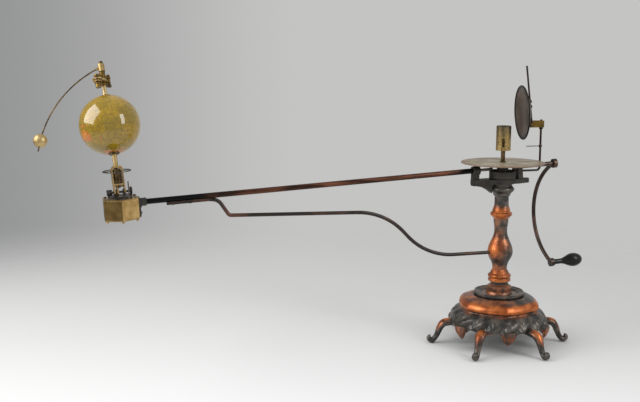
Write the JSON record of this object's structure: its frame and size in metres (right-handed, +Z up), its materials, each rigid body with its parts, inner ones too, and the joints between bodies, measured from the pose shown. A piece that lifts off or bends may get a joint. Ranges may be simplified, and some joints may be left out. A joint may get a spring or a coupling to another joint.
{
  "type": "tellurion",
  "caption": "Crank-driven tellurion: a geared arm carries a tilted globe and a moon round a candle sun with a reflector, on an iron column and six-legged base.",
  "frame": {"origin": "on the table under the column axis", "axes": "+Z up along the column, -X along the arm to the earth, +X to the crank, Y across"},
  "size_m": [0.7582, 0.1936, 0.4016],
  "materials": {
    "iron": "blackened iron, semi-gloss, rubbed to copper on high spots",
    "bronze": "brown lacquer, satin, worn",
    "brass": "aged lacquered brass, satin",
    "dark_brass": "tarnished brass, satin",
    "steel": "grey steel, satin",
    "card": "tan varnished dial, matt",
    "globe": "varnished yellow-ochre map",
    "black_wood": "black stained turned wood, semi-gloss",
    "mirror": "dull silvered dish"
  },
  "bodies": {
    "stand": {"base_casting": "iron", "base_pan": "bronze", "thrust_washer": "brass", "spindle": "steel", "spindle_nut": "steel", "contrate_wheel": "iron", "calendar_disc": "card", "candle_stem": "dark_brass", "candle_socket": "brass"},
    "arm_frame": {"column": "iron", "head_bracket": "iron", "head_screws": "steel", "arm_tube": "bronze", "arm_bushes": "brass", "brace_rod": "bronze", "brace_rivets": "steel", "gearbox_case": "brass", "gearbox_lid": "brass", "gearbox_floor": "brass", "gearbox_flange": "iron", "gearbox_screws": "steel", "gearbox_feet": "brass", "moon_ring": "iron", "index_pin": "steel", "reflector_post": "bronze", "date_pointer": "bronze"},
    "crank": {"crank_shaft": "bronze", "crank_pinion": "steel", "crank_arm": "bronze", "handle_pin": "steel"},
    "handle": {"handle": "black_wood"},
    "drive": {"drive_shaft": "steel", "drive_pinion": "steel", "box_pinion": "steel"},
    "yoke": {"earth_crown": "brass", "yoke_hub": "steel", "yoke_arch": "dark_brass", "arch_screws": "steel", "spindle_tube": "brass", "hour_ring": "steel", "moon_bracket": "dark_brass"},
    "cross": {"cross_arbor": "steel", "roller_pinion": "iron", "cross_contrate": "brass", "arbor_collar": "iron"},
    "inner": {"inner_arbor": "steel", "setting_wheel": "bronze", "head_wheel": "brass"},
    "idler": {"idler_arbor": "steel", "idler_wheels": "brass"},
    "moon": {"moon_hub": "brass", "moon_cap": "dark_brass", "moon_wire": "dark_brass", "moon_ball": "brass"},
    "globe": {"globe": "globe", "globe_caps": "dark_brass"},
    "swivel_block": {"swivel_block": "brass"},
    "mirror_rod": {"mirror_rod": "bronze"},
    "mirror": {"mirror_dish": "mirror", "mirror_clips": "iron"}
  },
  "joints": [
    {"name": "arm_turn", "type": "hinge", "parent": "stand", "child": "arm_frame", "pos_m": [0, 0, 0], "axis": [0, 0, 1], "continuous": true},
    {"name": "crank_turn", "type": "hinge", "parent": "arm_frame", "child": "crank", "pos_m": [0, 0, 0.25242], "axis": [0.9986, 0, 0.0523], "continuous": true},
    {"name": "handle_spin", "type": "hinge", "parent": "crank", "child": "handle", "pos_m": [0.08443, 0, 0.11265], "axis": [0.9986, 0, 0.0523], "continuous": true},
    {"name": "drive_turn", "type": "hinge", "parent": "arm_frame", "child": "drive", "pos_m": [0, 0, 0.25235], "axis": [0.9986, 0, 0.0523], "continuous": true},
    {"name": "yoke_turn", "type": "hinge", "parent": "arm_frame", "child": "yoke", "pos_m": [-0.52528, 0, 0.22483], "axis": [-0.0523, 0, 0.9986], "continuous": true},
    {"name": "cross_turn", "type": "hinge", "parent": "yoke", "child": "cross", "pos_m": [-0.52607, 0, 0.24], "axis": [0.9948, 0.0872, 0.0521], "continuous": true},
    {"name": "inner_turn", "type": "hinge", "parent": "yoke", "child": "inner", "pos_m": [-0.52607, 0, 0.24], "axis": [-0.0827, 0.3972, 0.914], "continuous": true},
    {"name": "idler_turn", "type": "hinge", "parent": "yoke", "child": "idler", "pos_m": [-0.53366, -0.00619, 0.242], "axis": [-0.0827, 0.3972, 0.914], "continuous": true},
    {"name": "moon_turn", "type": "hinge", "parent": "yoke", "child": "moon", "pos_m": [-0.52607, 0, 0.24], "axis": [-0.0827, 0.3972, 0.914], "continuous": true},
    {"name": "globe_spin", "type": "hinge", "parent": "yoke", "child": "globe", "pos_m": [-0.53343, 0.03535, 0.32134], "axis": [-0.0827, 0.3972, 0.914], "continuous": true},
    {"name": "block_swivel", "type": "hinge", "parent": "arm_frame", "child": "swivel_block", "pos_m": [0.0605, 0.00555, 0.31253], "axis": [0, 0, 1], "range_deg": [-20, 20]},
    {"name": "rod_tilt", "type": "hinge", "parent": "swivel_block", "child": "mirror_rod", "pos_m": [0.04507, 0.00367, 0.31253], "axis": [0.2079, 0.9781, 0], "range_deg": [-10, 8]},
    {"name": "mirror_slide", "type": "slide", "parent": "mirror_rod", "child": "mirror", "axis": [-0.1192, 0.0253, 0.9925], "range_m": [-0.006, 0.016]}
  ],
  "couplings": [
    {"joint": "crank_turn", "follows": "arm_turn", "ratio": -3.5385},
    {"joint": "drive_turn", "follows": "arm_turn", "ratio": 5.75},
    {"joint": "yoke_turn", "follows": "arm_turn", "ratio": -1},
    {"joint": "cross_turn", "follows": "arm_turn", "ratio": 2.8571},
    {"joint": "inner_turn", "follows": "arm_turn", "ratio": 8.9286},
    {"joint": "idler_turn", "follows": "arm_turn", "ratio": -8.9286},
    {"joint": "moon_turn", "follows": "arm_turn", "ratio": 13.393}
  ]
}
